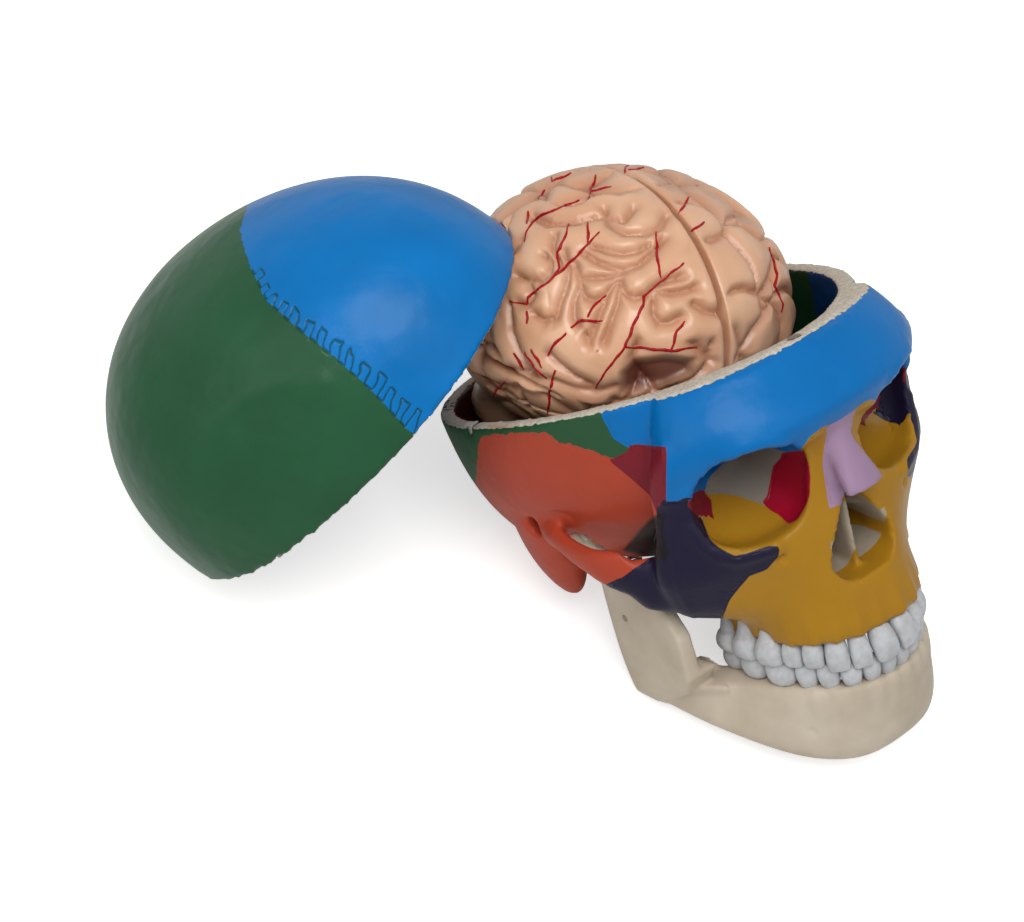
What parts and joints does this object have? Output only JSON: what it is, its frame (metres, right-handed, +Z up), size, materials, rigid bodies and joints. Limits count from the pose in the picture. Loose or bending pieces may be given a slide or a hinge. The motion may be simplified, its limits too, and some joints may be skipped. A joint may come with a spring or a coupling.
{
  "type": "brain anatomy model",
  "caption": "Life-size teaching skull with coloured bones, its cap taken off and leaning beside it, a hinged jaw, set teeth and a soft brain in separable parts.",
  "frame": {"origin": "centre of the whole object's bounding box, on the surface that it rests on", "axes": "+Z up, +Y from the face to the back of the head, +X to the skull's left"},
  "size_m": [0.2374, 0.2788, 0.1456],
  "materials": {
    "painted_skull": "satin paint on cast plastic, a colour to each bone",
    "painted_cap": "satin paint on cast plastic, green and blue",
    "bone_plastic": "bare cast plastic, satin",
    "tooth_plastic": "hard white plastic, glossy",
    "brain_vinyl": "soft flesh-coloured vinyl, glossy",
    "magnet": "dull plated magnet",
    "screw_steel": "plated steel",
    "spring_steel": "plated spring wire",
    "clear_cushion": "clear soft plastic",
    "pin_plastic": "moulded plastic"
  },
  "bodies": {
    "skull": {"brain_pins": "pin_plastic", "cap_magnets": "magnet", "left_brainstem": "brain_vinyl", "left_cerebellum": "brain_vinyl", "left_frontoparietal": "brain_vinyl", "left_jaw_spring": "spring_steel", "left_joint_pad": "clear_cushion", "left_temporooccipital": "brain_vinyl", "right_brainstem": "brain_vinyl", "right_cerebellum": "brain_vinyl", "right_frontoparietal": "brain_vinyl", "right_jaw_spring": "spring_steel", "right_joint_pad": "clear_cushion", "right_temporooccipital": "brain_vinyl", "rim_magnets": "magnet", "skull_base": "painted_skull", "skull_cap": "painted_cap", "skull_screws": "screw_steel", "upper_left_canine": "tooth_plastic", "upper_left_central_incisor": "tooth_plastic", "upper_left_first_molar": "tooth_plastic", "upper_left_first_premolar": "tooth_plastic", "upper_left_lateral_incisor": "tooth_plastic", "upper_left_second_molar": "tooth_plastic", "upper_left_second_premolar": "tooth_plastic", "upper_left_third_molar": "tooth_plastic", "upper_right_canine": "tooth_plastic", "upper_right_central_incisor": "tooth_plastic", "upper_right_first_molar": "tooth_plastic", "upper_right_first_premolar": "tooth_plastic", "upper_right_lateral_incisor": "tooth_plastic", "upper_right_second_molar": "tooth_plastic", "upper_right_second_premolar": "tooth_plastic", "upper_right_third_molar": "tooth_plastic"},
    "jaw": {"jaw_screws": "screw_steel", "lower_left_canine": "tooth_plastic", "lower_left_central_incisor": "tooth_plastic", "lower_left_first_molar": "tooth_plastic", "lower_left_first_premolar": "tooth_plastic", "lower_left_lateral_incisor": "tooth_plastic", "lower_left_second_molar": "tooth_plastic", "lower_left_second_premolar": "tooth_plastic", "lower_left_third_molar": "tooth_plastic", "lower_right_canine": "tooth_plastic", "lower_right_central_incisor": "tooth_plastic", "lower_right_first_molar": "tooth_plastic", "lower_right_first_premolar": "tooth_plastic", "lower_right_lateral_incisor": "tooth_plastic", "lower_right_second_molar": "tooth_plastic", "lower_right_second_premolar": "tooth_plastic", "lower_right_third_molar": "tooth_plastic", "mandible": "bone_plastic"}
  },
  "joints": [
    {"name": "jaw_hinge", "type": "hinge", "parent": "skull", "child": "jaw", "pos_m": [0.04876, -0.02881, 0.05409], "axis": [1, 0, 0], "range_deg": [0, 20], "deforming": ["right_jaw_spring", "left_jaw_spring"]}
  ]
}
